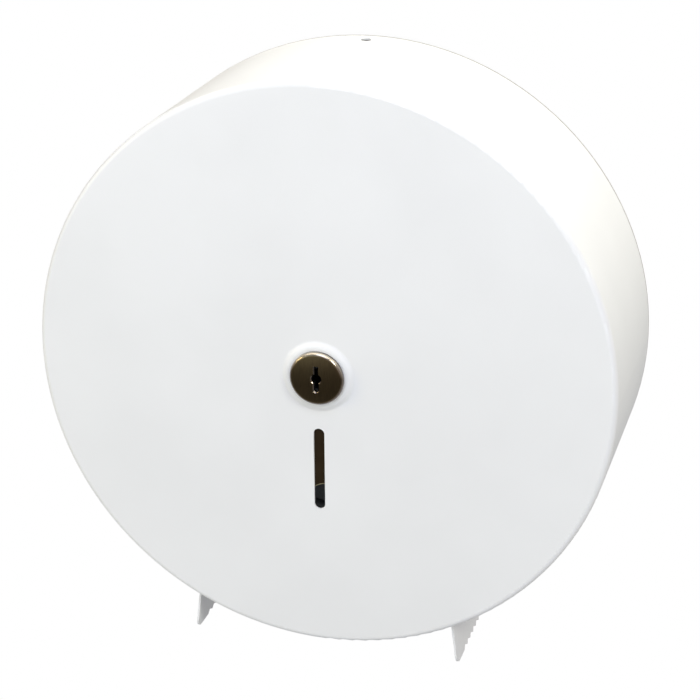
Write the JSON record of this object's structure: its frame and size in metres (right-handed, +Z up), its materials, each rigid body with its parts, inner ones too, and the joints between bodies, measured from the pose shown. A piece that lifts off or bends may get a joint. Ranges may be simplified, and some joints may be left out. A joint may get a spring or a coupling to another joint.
{
  "type": "jumbo toilet roll dispenser",
  "caption": "Wall-mounted steel drum dispenser for a jumbo toilet roll, with a centre lock, a level slot, a turning roll hub and toothed tear tabs.",
  "frame": {"origin": "centre of the four wall screw holes, on the wall face of the back plate", "axes": "+Z up, -Y out of the wall towards the user, +X to the right seen from the front"},
  "size_m": [0.305, 0.1073, 0.3121],
  "materials": {
    "cover_coat": "smooth white powder coat, satin gloss",
    "plate_steel": "graphite powder coat on pressed steel",
    "zinc_steel": "bright zinc plate",
    "spring_steel": "blackened spring steel",
    "acetal": "natural acetal, turned",
    "hub_plastic": "charcoal ABS, moulded satin",
    "smoked_acrylic": "bronze-smoked acrylic, polished",
    "bronze_lock": "antique bronze plate on zinc, fine brushed",
    "rotor_metal": "blackened brass, turned"
  },
  "bodies": {
    "base": {"back_plate": "plate_steel", "locating_pegs": "zinc_steel", "spindle_post": "zinc_steel", "spindle_rivets": "zinc_steel", "keeper_plate": "zinc_steel", "hub_back_washer": "acetal", "hub_front_washer": "zinc_steel", "hub_ring": "spring_steel"},
    "hub": {"roll_hub": "hub_plastic", "hub_rear_bush": "acetal", "hub_front_bush": "acetal"},
    "cover": {"cover_shell": "cover_coat", "level_window": "smoked_acrylic", "window_studs": "zinc_steel", "window_push_nuts": "spring_steel", "lock_housing": "bronze_lock", "lock_washer": "zinc_steel", "lock_nut": "bronze_lock", "rotor_ring": "spring_steel"},
    "lock": {"lock_rotor": "rotor_metal", "lock_bar": "zinc_steel", "bar_washer": "zinc_steel", "bar_screw": "zinc_steel"}
  },
  "joints": [
    {"name": "cover_lift_off", "type": "slide", "parent": "base", "child": "cover", "axis": [0, -1, 0], "range_m": [0, 0.14]},
    {"name": "roll_spin", "type": "hinge", "parent": "base", "child": "hub", "pos_m": [0, -0.04, 0], "axis": [0, -1, 0], "continuous": true},
    {"name": "lock_turn", "type": "hinge", "parent": "cover", "child": "lock", "pos_m": [0, -0.095, 0], "axis": [0, -1, 0], "range_deg": [0, 90]}
  ]
}
